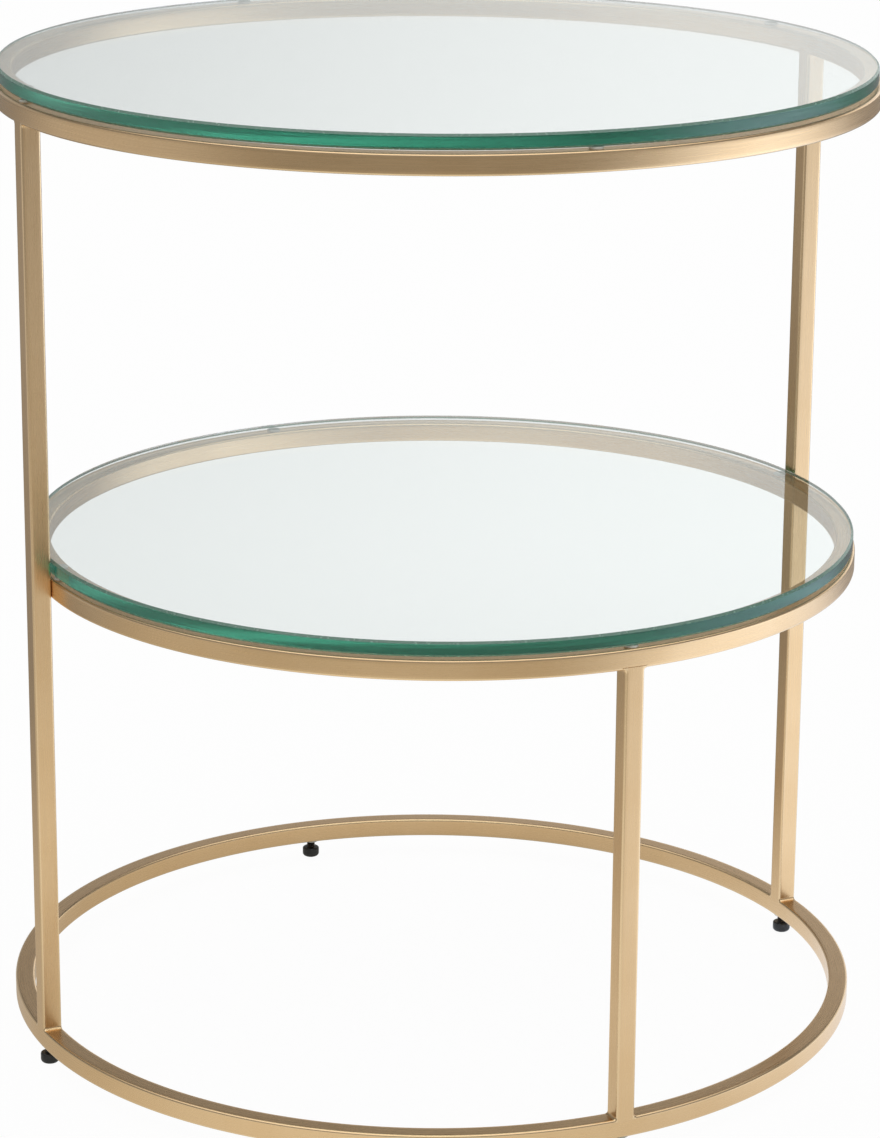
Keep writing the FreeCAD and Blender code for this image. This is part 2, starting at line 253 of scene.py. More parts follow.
@dataclass(frozen=True)
class NodePiece:
    """A mesh that a Geometry Nodes tree makes from named sizes.

    Attributes:
        name: The finished piece's name.
        inputs: The value of each named input of the tree.
        finish: The material for the whole piece.
    """

    name: str
    inputs: TreeInputs
    grow: Callable[[NodeKit, Node], Socket]
    finish: Material

    def build(self, start: Mesh | None = None, sharp: float = 40.0) -> Object:
        """Build the tree, run it once and keep its result as a plain mesh.

        Args:
            start: The mesh that the tree is handed, if it reads one.
            sharp: Edges that turn more than this, in degrees, stay crisp.

        Returns:
            The finished object, without a modifier.
        """
        tree = bpy.data.node_groups.new(self.name, "GeometryNodeTree")
        tree.interface.new_socket("Geometry", in_out="INPUT", socket_type="NodeSocketGeometry")
        values = self.inputs | {"Finish": self.finish}
        for label, value in values.items():
            tree.interface.new_socket(label, in_out="INPUT", socket_type=SOCKET_KINDS[type(value)])
        tree.interface.new_socket("Geometry", in_out="OUTPUT", socket_type="NodeSocketGeometry")
        kit = NodeKit(tree)
        given = kit.add("NodeGroupInput")
        real = kit.add("GeometryNodeRealizeInstances", {0: self.grow(kit, given)}).outputs[0]
        wires = {"Geometry": real, "Material": given.outputs["Finish"]}
        dressed = kit.add("GeometryNodeSetMaterial", wires).outputs[0]
        kit.add("NodeGroupOutput", {0: dressed})

        made = new_object(self.name, start or bpy.data.meshes.new(self.name))
        modifier = made.modifiers.new("grow", "NODES")
        modifier.node_group = tree
        for item in tree.interface.items_tree:
            if item.in_out == "INPUT" and item.name in values:
                modifier[item.identifier] = values[item.name]
        seen = made.evaluated_get(bpy.context.evaluated_depsgraph_get())
        mesh = bpy.data.meshes.new_from_object(seen)
        mesh.name = self.name
        made.modifiers.remove(modifier)
        made.data = mesh
        shade_smooth(mesh, sharp)
        return made


def new_object(name: str, mesh: Mesh) -> Object:
    """Put a mesh in the scene as an object at the origin.

    Args:
        name: The object's name.
        mesh: Its mesh.

    Returns:
        The new object.
    """
    made = bpy.data.objects.new(name, mesh)
    bpy.context.scene.collection.objects.link(made)
    return made


def shade_smooth(mesh: Mesh, sharp: float) -> None:
    """Shade a mesh smooth but for the edges that turn more than an angle, in degrees."""
    mesh.polygons.foreach_set("use_smooth", [True] * len(mesh.polygons))
    mesh.set_sharp_from_angle(angle=math.radians(sharp))


def mesh_object(name: str, shape: Shape, finishes: Sequence[Material], sharp: float) -> Object:
    """Keep a shape as a finished object.

    Args:
        name: The object's name.
        shape: The shape, which is freed.
        finishes: The materials, of which the first goes on every face.
        sharp: Edges that turn more than this, in degrees, stay crisp.

    Returns:
        The new object.
    """
    mesh = bpy.data.meshes.new(name)
    shape.to_mesh(mesh)
    shape.free()
    for finish in finishes:
        mesh.materials.append(finish)
    shade_smooth(mesh, sharp)
    return new_object(name, mesh)


def lathe(outline: Sequence[Point], centre: Vector, steps: int) -> Shape:
    """Turn an outline about an upright axis.

    Args:
        outline: Radius and height of each point, from the axis at the bottom, out, up and back to it.
        centre: Where the axis and height zero are.
        steps: How many steps the turn takes.

    Returns:
        A closed shape with its faces outwards.
    """
    shape = bmesh.new()
    rows = []
    for radius, height in outline:
        level = centre.z + height
        if radius == 0.0:
            rows.append([shape.verts.new((centre.x, centre.y, level))] * steps)
            continue
        row = []
        for step in range(steps):
            turn = math.tau * step / steps
            east = centre.x + radius * math.cos(turn)
            north = centre.y + radius * math.sin(turn)
            row.append(shape.verts.new((east, north, level)))
        rows.append(row)
    for lower, upper in zip(rows, rows[1:]):
        for step in range(steps):
            following = (step + 1) % steps
            corners = [lower[step], lower[following], upper[following], upper[step]]
            shape.faces.new(list(dict.fromkeys(corners)))
    return shape


def arc(centre: Point, radius: float, start: float, end: float, steps: int) -> list[Point]:
    """Give the points of an arc in an outline.

    Args:
        centre: The arc's centre, as radius and height.
        radius: The arc's own radius.
        start: Where it starts, in degrees from outwards towards up.
        end: Where it ends.
        steps: How many steps it takes.

    Returns:
        The points, both ends among them.
    """
    points = []
    for step in range(steps + 1):
        turn = math.radians(start + (end - start) * step / steps)
        points.append((centre[0] + radius * math.cos(turn), centre[1] + radius * math.sin(turn)))
    return points


@dataclass(frozen=True)
class NodeBox:
    """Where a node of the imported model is, and how large.

    Attributes:
        middle: The middle of its box.
        sole: The middle of its underside.
        width: Its size from left to right.
        height: Its size from bottom to top.
    """

    middle: Vector
    sole: Vector
    width: float
    height: float


def measure(node: str) -> NodeBox:
    """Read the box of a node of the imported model.

    Args:
        node: The node's name.

    Returns:
        Its place and size.
    """
    low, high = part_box(node)
    middle = (low + high) / 2
    sole = Vector((middle.x, middle.y, low.z))
    return NodeBox(middle, sole, high.x - low.x, high.z - low.z)


def hang(piece: Object, body: str, slot: str, *nodes: str) -> None:
    """Hang a finished piece on its body in place of the nodes that it dresses.

    Args:
        piece: The finished piece.
        body: The body that it moves with.
        slot: The record's material slot; not used.
        *nodes: The nodes that it stands for.
    """
    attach(piece, body)
    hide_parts(*nodes)
    LOG.info("%s: %d faces on %s", piece.name, len(piece.data.polygons), body)


# ---------------- Finishes ----------------


def new_material(name: str) -> tuple[Material, NodeKit]:
    """Start a material with an empty node tree.

    Args:
        name: The material's name.
    """
    material = bpy.data.materials.new(name)
    material.use_nodes = True
    return material, NodeKit(material.node_tree)


@dataclass(frozen=True)
class SatinBrass:
    """Brass plating brushed along the tube; the rubbed corners are smoother, and painted a little lighter
    as a highlight.
    """

    colour: Colour = (0.815, 0.568, 0.318)
    deep_colour: Colour = (0.785, 0.535, 0.288)
    rubbed_corner_highlight_colour: Colour = (0.86, 0.645, 0.40)
    rubbed_corner_highlight_share: float = 0.6
    corner_span: Span = (7.85 * MM, 8.25 * MM)
    roughness: float = 0.30
    roughness_spread: float = 0.05
    corner_roughness: float = 0.24
    grain_length: float = 35 * MM
    grain_width: float = 0.22 * MM
    grain_depth: float = 0.006 * MM
    grain_rough: float = 0.55
    grain_span: Span = (0.3, 0.7)
    cloud_size: float = 45 * MM
    cloud_detail: float = 3.0
    cloud_rough: float = 0.6
    cloud_share: float = 0.6
    tone_span: Span = (0.35, 0.65)

    def make(self, name: str, path: GrainPath, centre: Vector, line: float = 0.0) -> Material:
        """Make the finish for one piece of tube.

        Args:
            name: The material's name.
            path: The way the grain runs.
            centre: The middle of the ring, or a point on the leg's centre line.
            line: Radius of the ring's centre line.

        Returns:
            The material.
        """
        material, kit = new_material(name)
        local = kit.place(centre)
        parts = kit.add("ShaderNodeSeparateXYZ", {0: local}).outputs
        across, grain = self._grain(kit, path, parts, line)
        corner = kit.ramp(across, self.corner_span)
        cloud = kit.noise(local, self.cloud_size, self.cloud_detail, self.cloud_rough)
        clouded = kit.math("MULTIPLY", cloud, self.cloud_share)
        grained = kit.math("MULTIPLY", grain, 1.0 - self.cloud_share)
        tone = kit.ramp(kit.math("ADD", clouded, grained), self.tone_span)
        plating = kit.blend(tone, rgba(self.deep_colour), rgba(self.colour))
        # The corners are painted a lighter brass: a painted highlight on top of their smoother, rubbed
        # finish.
        rubbed = kit.math("MULTIPLY", corner, self.rubbed_corner_highlight_share)
        spread = kit.ramp(grain, self.grain_span, (-self.roughness_spread, self.roughness_spread))
        level = kit.ramp(corner, (0.0, 1.0), (self.roughness, self.corner_roughness))
        kit.surface({
            "Base Color": kit.blend(rubbed, plating, rgba(self.rubbed_corner_highlight_colour)),
            "Metallic": 1.0,
            "Roughness": kit.math("ADD", spread, level),
            "Normal": kit.relief(grain, self.grain_depth),
        })
        return material

    def _grain(self, kit: NodeKit, path: GrainPath, parts: Any, line: float) -> tuple[Socket, Socket]:
        """Lay the brushed grain along the tube.

        Args:
            kit: The material's nodes.
            path: The way the grain runs.
            parts: The place's three numbers, measured from the piece's own centre.
            line: Radius of the ring's centre line.

        Returns:
            The distance from the tube's centre line, and the grain from 0 to 1.
        """
        along = 1.0 / self.grain_length
        fine = 1.0 / self.grain_width
        east, north, height = parts
        flat = kit.hypot(east, north)
        if path is GrainPath.ROUND:
            ahead = kit.math("MULTIPLY", kit.math("DIVIDE", east, flat), line * along)
            beside = kit.math("MULTIPLY", kit.math("DIVIDE", north, flat), line * along)
            spot = {0: ahead, 1: beside, 2: kit.math("MULTIPLY", flat, fine)}
            last = kit.math("MULTIPLY", height, fine)
            across = kit.hypot(kit.math("SUBTRACT", flat, line), height)
        else:
            spot = {0: kit.math("MULTIPLY", east, fine), 1: kit.math("MULTIPLY", north, fine)}
            spot[2] = kit.math("MULTIPLY", height, along)
            last = 0.0
            across = flat
        vector = kit.add("ShaderNodeCombineXYZ", spot).outputs[0]
        wires = {"Vector": vector, "W": last, "Scale": 1.0, "Detail": 2.0, "Roughness": self.grain_rough}
        grain = kit.add("ShaderNodeTexNoise", wires, noise_dimensions="4D").outputs[0]
        return across, grain


@dataclass(frozen=True)
class FloatGlass:
    """Clear float glass with a polished edge, green where it is looked through the long way."""

    face_colour: Colour = (0.99, 1.0, 0.995)
    face_cloud: float = 1.0 / 3.0
    edge_colour: Colour = (0.86, 0.97, 0.93)
    streak_colour: Colour = (0.97, 1.0, 0.99)
    edge_roughness: float = 0.12
    index: float = 1.52
    body_colour: Colour = (0.033, 0.683, 0.53)
    body_density: float = 5.3
    streak_length: float = 60 * MM
    streak_height: float = 1.6 * MM
    streak_depth: float = 0.03 * MM
    streak_span: Span = (0.42, 0.66)
    bevel_shade_colour: Colour = (0.25, 0.46, 0.36)
    bevel_paler_shade_colour: Colour = (0.34, 0.57, 0.46)
    bevel_roughness: Span = (0.2125, 0.2875)
    bevel_span: Span = (0.2, 0.8)
    bevel_clearness: float = 0.45

    def make(self, name: str, centre: Vector, ground: Ground) -> Material:
        """Make the glass of the faces, of the polished edge or of the finely ground bevels.

        Args:
            name: The material's name.
            centre: The middle of the pane.
            ground: Which of the three it is.

        Returns:
            The material.
        """
        material, kit = new_material(name)
        local = kit.place(centre)
        wires: Wires = {"Transmission Weight": 1.0, "IOR": self.index, "Roughness": 0.0}
        if ground is Ground.EDGE:
            scale = (1.0 / self.streak_length, 1.0 / self.streak_length, 1.0 / self.streak_height)
            noise = kit.noise(kit.vector("MULTIPLY", local, scale))
            streak = kit.ramp(noise, self.streak_span)
            wires["Base Color"] = kit.blend(streak, rgba(self.edge_colour), rgba(self.streak_colour))
            wires["Roughness"] = self.edge_roughness
            wires["Normal"] = kit.relief(noise, self.streak_depth)
        elif ground is Ground.BEVEL:
            noise = kit.noise(local, self.streak_height)
            # The bevels are partly opaque and painted dark green: painted shade for the dark line along the
            # rims, on top of their ground, rougher finish.
            wires["Base Color"] = kit.blend(noise, rgba(self.bevel_shade_colour), rgba(self.bevel_paler_shade_colour))
            wires["Transmission Weight"] = self.bevel_clearness
            wires["Roughness"] = kit.ramp(noise, self.bevel_span, self.bevel_roughness)
        else:
            noise = kit.noise(local, self.face_cloud, detail=1.0)
            wires["Base Color"] = kit.blend(noise, rgba(self.face_colour), rgba(WHITE))
        body = {"Color": rgba(self.body_colour), "Density": self.body_density}
        kit.surface(wires, kit.add("ShaderNodeVolumeAbsorption", body).outputs[0])
        return material


@dataclass(frozen=True)
class ClearVinyl:
    """The soft clear plastic of the bumpers, slightly clouded."""

    colour: Colour = (1.0, 0.96, 0.86)
    cloudy_colour: Colour = (0.95, 0.91, 0.80)
    roughness: Span = (0.048, 0.112)
    index: float = 1.46
    clearness: float = 0.30
    cloud_size: float = 2.0 * MM
    cloud_span: Span = (0.3, 0.7)

    def make(self, name: str) -> Material:
        """Make the clear plastic.

        Args:
            name: The material's name.

        Returns:
            The material.
        """
        material, kit = new_material(name)
        cloud = kit.noise(kit.place(), self.cloud_size)
        kit.surface({
            "Base Color": kit.blend(cloud, rgba(self.cloudy_colour), rgba(self.colour)),
            "Roughness": kit.ramp(cloud, self.cloud_span, self.roughness),
            "IOR": self.index,
            "Transmission Weight": self.clearness,
        })
        return material


@dataclass(frozen=True)
class MouldedPlastic:
    """Black moulded plastic with the fine skin of a spark-eroded mould."""

    colour: Colour = (0.016, 0.016, 0.017)
    worn_colour: Colour = (0.035, 0.035, 0.036)
    worn_span: Span = (0.4, 0.7)
    roughness: Span = (0.36, 0.50)
    skin_size: float = 0.35 * MM
    skin_depth: float = 0.02 * MM
    skin_strength: float = 0.6
    skin_span: Span = (0.3, 0.7)
    cloud_size: float = 5.0 * MM
    cloud_detail: float = 3.0

    def make(self, name: str) -> Material:
        """Make the black plastic.

        Args:
            name: The material's name.

        Returns:
            The material.
        """
        material, kit = new_material(name)
        place = kit.place()
        skin = kit.noise(place, self.skin_size)
        worn = kit.ramp(kit.noise(place, self.cloud_size, self.cloud_detail), self.worn_span)
        kit.surface({
            "Base Color": kit.blend(worn, rgba(self.colour), rgba(self.worn_colour)),
            "Roughness": kit.ramp(skin, self.skin_span, self.roughness),
            "Normal": kit.relief(skin, self.skin_depth, self.skin_strength),
        })
        return material


@dataclass(frozen=True)
class TurnedSteel:
    """Steel with lathe marks round an upright axis, blackened or zinc plated."""

    colour: Colour
    rubbed_colour: Colour
    roughness: Span
    rubbed_span: Span = (0.35, 0.7)
    rough_span: Span = (0.2, 0.8)
    mark_pitch: float = 0.12 * MM
    mark_share: float = 0.1
    cloud_size: float = 3.0 * MM
    cloud_detail: float = 3.0

    def make(self, name: str) -> Material:
        """Make the steel.

        Args:
            name: The material's name.

        Returns:
            The material.
        """
        material, kit = new_material(name)
        place = kit.place()
        height = kit.add("ShaderNodeSeparateXYZ", {0: place}).outputs[2]
        cloud = kit.noise(place, self.cloud_size, self.cloud_detail)
        marks = kit.math("SINE", kit.math("MULTIPLY", height, math.tau / self.mark_pitch))
        rubbed = kit.ramp(cloud, self.rubbed_span)
        mixed = kit.math("ADD", cloud, kit.math("MULTIPLY", marks, self.mark_share))
        kit.surface({
            "Base Color": kit.blend(rubbed, rgba(self.colour), rgba(self.rubbed_colour)),
            "Metallic": 1.0,
            "Roughness": kit.ramp(mixed, self.rough_span, self.roughness),
        })
        return material


BLACK_STEEL = TurnedSteel((0.045, 0.042, 0.040), (0.11, 0.095, 0.085), (0.35, 0.51))
ZINC_STEEL = TurnedSteel((0.50, 0.49, 0.46), (0.66, 0.65, 0.62), (0.27, 0.43))


# ---------------- The frame ----------------


@dataclass
class SquareTubeFrame:
    """The three bent rings and the three legs, whose ends run into the rings in ground welds.

    Attributes:
        brass: The finish.
        corner: Outside corner radius of the square tube.
        corner_steps: Steps round each corner of the section.
        side_cuts: Points on each flat of the section, which keep it flat.
        ring_steps: Steps round each ring.
        weld: Radius of the weld's hollow on each side of a leg's end.
        weld_steps: Steps up that hollow.
        bend: Length over which a leg's end takes up the ring's curve.
        bend_steps: Steps along it.
    """

    brass: SatinBrass
    corner: float = 1.5 * MM
    corner_steps: int = 8
    side_cuts: int = 3
    ring_steps: int = 720
    weld: float = 1.7 * MM
    weld_steps: int = 12
    bend: float = 8.0 * MM
    bend_steps: int = 6

    body = "frame"
    slot = "satin_brass"

    def build(self) -> None:
        """Build every piece of the frame and hang it on its body."""
        for tier in Tier:
            self._ring(tier)
        for side in LEG_SIDES:
            self._leg(side)

    def _section(self, kit: NodeKit, given: Node) -> Socket:
        """Draw the tube's section, with points on the flats that keep them flat.

        Args:
            kit: The tree's nodes.
            given: The node of the tree's inputs, with Side, Corner and Corner Steps.

        Returns:
            The section's curve.
        """
        side = given.outputs["Side"]
        square = kit.add("GeometryNodeCurvePrimitiveQuadrilateral", {"Width": side, "Height": side})
        cut = kit.add("GeometryNodeSubdivideCurve", {0: square.outputs[0], "Cuts": self.side_cuts})
        number = kit.add("GeometryNodeInputIndex").outputs[0]
        since_corner = kit.math("MODULO", number, self.side_cuts + 1)
        half_step = 0.5
        is_corner = kit.math("LESS_THAN", since_corner, half_step)
        wires = {
            0: cut.outputs[0],
            "Count": kit.math("MULTIPLY", is_corner, given.outputs["Corner Steps"]),
            "Radius": kit.math("MULTIPLY", is_corner, given.outputs["Corner"]),
        }
        return kit.add("GeometryNodeFilletCurve", wires, mode="POLY").outputs[0]

    def _section_inputs(self, side: float) -> TreeInputs:
        """Give the tree inputs that the section reads."""
        return {"Side": side, "Corner": self.corner, "Corner Steps": self.corner_steps}

    def _ring(self, tier: Tier) -> None:
        """Bend one ring and hang it in place of its node.

        Args:
            tier: The ring's level.
        """
        node = f"{tier.value}_ring"
        box = measure(node)
        line = (box.width - box.height) / 2
        inputs = self._section_inputs(box.height) | {
            "Line Radius": line,
            "Ring Steps": self.ring_steps,
            "Centre": tuple(box.middle),
        }
        finish = self.brass.make(f"satin_brass_{node}", GrainPath.ROUND, box.middle, line)
        ring = NodePiece(f"{node}_tube", inputs, self._bent, finish).build()
        hang(ring, self.body, self.slot, node)

    def _bent(self, kit: NodeKit, given: Node) -> Socket:
        """Sweep the section round the ring's centre line.

        Args:
            kit: The tree's nodes.
            given: The node of the tree's inputs.

        Returns:
            The ring in its place.
        """
        wires = {"Radius": given.outputs["Line Radius"], "Resolution": given.outputs["Ring Steps"]}
        path = kit.add("GeometryNodeCurvePrimitiveCircle", wires, mode="RADIUS").outputs[0]
        wires = {0: path, "Profile Curve": self._section(kit, given)}
        swept = kit.add("GeometryNodeCurveToMesh", wires).outputs[0]
        return kit.moved(swept, given)

    def _leg(self, side: Side) -> None:
        """Cut one leg and hang it in place of its node.

        Its ends run on into the rings by the rounding of their corners, as the ground weld does.

        Args:
            side: The place round the table where it stands.
        """
        node = f"leg_{side.value}"
        box = measure(node)
        middle = box.middle
        inputs = self._section_inputs(box.width) | {
            "Weld": self.weld,
            "Bend": self.bend,
            "Half Length": box.height / 2,
            "Ring Radius": math.hypot(middle.x, middle.y) + box.width / 2,
            "Centre": tuple(middle),
            "Turn": (0.0, 0.0, math.atan2(middle.y, middle.x)),
        }
        finish = self.brass.make(f"satin_brass_{node}", GrainPath.UPRIGHT, middle)
        leg = NodePiece(f"{node}_tube", inputs, self._cut, finish).build(self._leg_line(box.height / 2))
        hang(leg, self.body, self.slot, node)

    def _cut(self, kit: NodeKit, given: Node) -> Socket:
        """Sweep the section up the leg's line, shape both ends and turn it to its place.

        Args:
            kit: The tree's nodes.
            given: The node of the tree's inputs.

        Returns:
            The leg in its place.
        """
        path = kit.add("GeometryNodeMeshToCurve", {0: given.outputs["Geometry"]}).outputs[0]
        wires = {0: path, "Profile Curve": self._section(kit, given), "Fill Caps": True}
        swept = kit.add("GeometryNodeCurveToMesh", wires).outputs[0]
        shaped = kit.shaped(swept, self._ground_end(kit, given))
        return kit.moved(shaped, given, {"Rotation": given.outputs["Turn"]})

    def _leg_line(self, half: float) -> Mesh:
        """Give a leg's centre line, with its points close together where its ends change shape.

        Args:
            half: Half of the leg's length.

        Returns:
            An upright line through the origin.
        """
        decimals = 7
        reach = self.weld + self.corner
        turns = [math.radians(RIGHT_ANGLE * step / self.weld_steps) for step in range(self.weld_steps + 1)]
        levels = {half + self.corner - reach * (1.0 - math.cos(turn)) for turn in turns}
        shares = [step / self.bend_steps for step in range(self.bend_steps + 1)]
        levels |= {half - self.weld - self.bend * share for share in shares}
        heights = sorted({round(level, decimals) for level in levels} | {0.0})
        heights = [-height for height in reversed(heights) if height > 0.0] + heights
        line = bpy.data.meshes.new("leg_line")
        pairs = [(number, number + 1) for number in range(len(heights) - 1)]
        line.from_pydata([(0.0, 0.0, height) for height in heights], pairs, [])
        return line

    def _ground_end(self, kit: NodeKit, given: Node) -> Socket:
        """Work out where each point of a leg goes: X runs out from the table, Y along the ring.

        Near an end, the sides sweep out in a hollow that meets the ring and follows its rounded
        corners, and the whole section takes up the ring's curve.

        Args:
            kit: The tree's nodes.
            given: The node of the tree's inputs.

        Returns:
            The points' new places.
        """
        corner, weld = given.outputs["Corner"], given.outputs["Weld"]
        place = kit.add("GeometryNodeInputPosition").outputs[0]
        out, along, height = kit.add("ShaderNodeSeparateXYZ", {0: place}).outputs
        flat = kit.math("SUBTRACT", kit.math("MULTIPLY", given.outputs["Side"], 0.5), corner)
        past = kit.math("MAXIMUM", 0.0, kit.math("SUBTRACT", kit.math("ABSOLUTE", out), flat))
        drop = kit.math("SUBTRACT", corner, self._leftover(kit, corner, past))
        short = kit.math("SUBTRACT", given.outputs["Half Length"], kit.math("ABSOLUTE", height))
        hollow = kit.math("ADD", weld, drop)
        into = kit.math("MAXIMUM", 0.0, kit.math("SUBTRACT", weld, short))
        flare = kit.math("SUBTRACT", hollow, self._leftover(kit, hollow, into))
        share = kit.math("MINIMUM", 1.0, kit.math("DIVIDE", kit.math("ABSOLUTE", along), flat))
        wider = kit.math("MULTIPLY", kit.math("SIGN", along), kit.math("MULTIPLY", flare, share))
        along = kit.math("ADD", along, wider)
        nearness = kit.ramp(short, (0.0, given.outputs["Bend"]), to=(1.0, 0.0))
        twice = kit.math("MULTIPLY", given.outputs["Ring Radius"], 2.0)
        curve = kit.math("DIVIDE", kit.math("POWER", along, 2.0), twice)
        out = kit.math("SUBTRACT", out, kit.math("MULTIPLY", curve, nearness))
        return kit.add("ShaderNodeCombineXYZ", {0: out, 1: along, 2: height}).outputs[0]

    def _leftover(self, kit: NodeKit, radius: Socket, way: Socket) -> Socket:
        """Give the other short side of a right triangle from its long side and one short side."""
        squares = kit.math("SUBTRACT", kit.math("POWER", radius, 2.0), kit.math("POWER", way, 2.0))
        return kit.math("SQRT", kit.math("MAXIMUM", 0.0, squares))


# ---------------- Glass and bumpers ----------------


@dataclass
class GlassTier:
    """One round pane with a polished edge and a small bevel along both rims."""

    tier: Tier
    glass: FloatGlass
    arris: float = 1.4 * MM
    steps: int = 512
    sharp: float = 20.0
    inner_share: float = 0.5
    face_slope: float = 0.95
    edge_slope: float = 0.1

    def build(self) -> None:
        """Build the pane and hang it on its own body."""
        node = f"{self.tier.value}_glass"
        box = measure(node)
        radius, height = box.width / 2, box.height
        inner = radius * self.inner_share
        outline = [
            (0.0, 0.0),
            (inner, 0.0),
            (radius - self.arris, 0.0),
            (radius, self.arris),
            (radius, height - self.arris),
            (radius - self.arris, height),
            (inner, height),
            (0.0, height),
        ]
        finishes = []
        for ground in Ground:
            name = f"clear_glass_{self.tier.value}_{ground.value}"
            finishes.append(self.glass.make(name, box.sole, ground))
        pane = mesh_object(f"{node}_pane", lathe(outline, box.sole, self.steps), finishes, self.sharp)
        for facet in pane.data.polygons:
            facet.material_index = list(Ground).index(self._ground(facet))
        hang(pane, node, "clear_glass", node)

    def _ground(self, facet: bpy.types.MeshPolygon) -> Ground:
        """Tell how a facet of the pane was finished.

        Args:
            facet: The facet.

        Returns:
            Whether it is part of a face, of the edge or of a bevel.
        """
        slope = abs(facet.normal.z)
        if slope < self.edge_slope:
            return Ground.EDGE
        return Ground.BEVEL if slope < self.face_slope else Ground.FACE


@dataclass
class BumperSet:
    """The four clear bumpers stuck on one ring."""

    tier: Tier
    vinyl: ClearVinyl
    land: float = 6.0 * MM
    rim: float = 0.8 * MM
    ease: float = 0.2 * MM
    clearance: float = 0.03 * MM
    steps: int = 40
    shoulder_steps: int = 8
    sharp: float = 40.0

    def build(self) -> None:
        """Build the bumpers as one mesh and hang it on the frame."""
        nodes = [f"{self.tier.value}_bumper_{side.value}" for side in Side]
        boxes = [measure(node) for node in nodes]
        radius = boxes[0].width / 2
        height = boxes[0].height - self.clearance
        outline = [(0.0, 0.0), (radius - self.ease, 0.0), (radius, self.ease), (radius, self.rim)]
        outline += self._shoulder(radius, height)
        outline += [(0.0, height)]
        shape = lathe(outline, Vector(), self.steps)
        finish = self.vinyl.make(f"clear_vinyl_{self.tier.value}")
        pattern = mesh_object(f"{self.tier.value}_bumper_pattern", shape, [finish], self.sharp)
        places = bpy.data.meshes.new(f"{self.tier.value}_bumper_places")
        places.from_pydata([box.sole for box in boxes], [], [])
        piece = NodePiece(f"{self.tier.value}_bumpers", {"Pattern": pattern}, self._copies, finish)
        bumpers = piece.build(places, self.sharp)
        bpy.data.objects.remove(pattern)
        hang(bumpers, "frame", "clear_bumper", *nodes)

    def _copies(self, kit: NodeKit, given: Node) -> Socket:
        """Set a copy of the pattern on each place.

        Args:
            kit: The tree's nodes.
            given: The node of the tree's inputs.

        Returns:
            The copies.
        """
        copied = kit.add("GeometryNodeObjectInfo", {"Object": given.outputs["Pattern"]})
        wires = {"Points": given.outputs["Geometry"], "Instance": copied.outputs["Geometry"]}
        return kit.add("GeometryNodeInstanceOnPoints", wires).outputs[0]

    def _shoulder(self, radius: float, height: float) -> list[Point]:
        """Give the rounded shoulder from the rim up to the flat land.

        Args:
            radius: The bumper's radius.
            height: Its height.

        Returns:
            The outline's points above the rim, the land's edge among them.
        """
        wide = radius - self.land / 2
        tall = height - self.rim
        points = []
        for step in range(1, self.shoulder_steps + 1):
            turn = math.radians(RIGHT_ANGLE * step / self.shoulder_steps)
            points.append((self.land / 2 + wide * math.cos(turn), self.rim + tall * math.sin(turn)))
        return points


# ---------------- The levelling feet ----------------


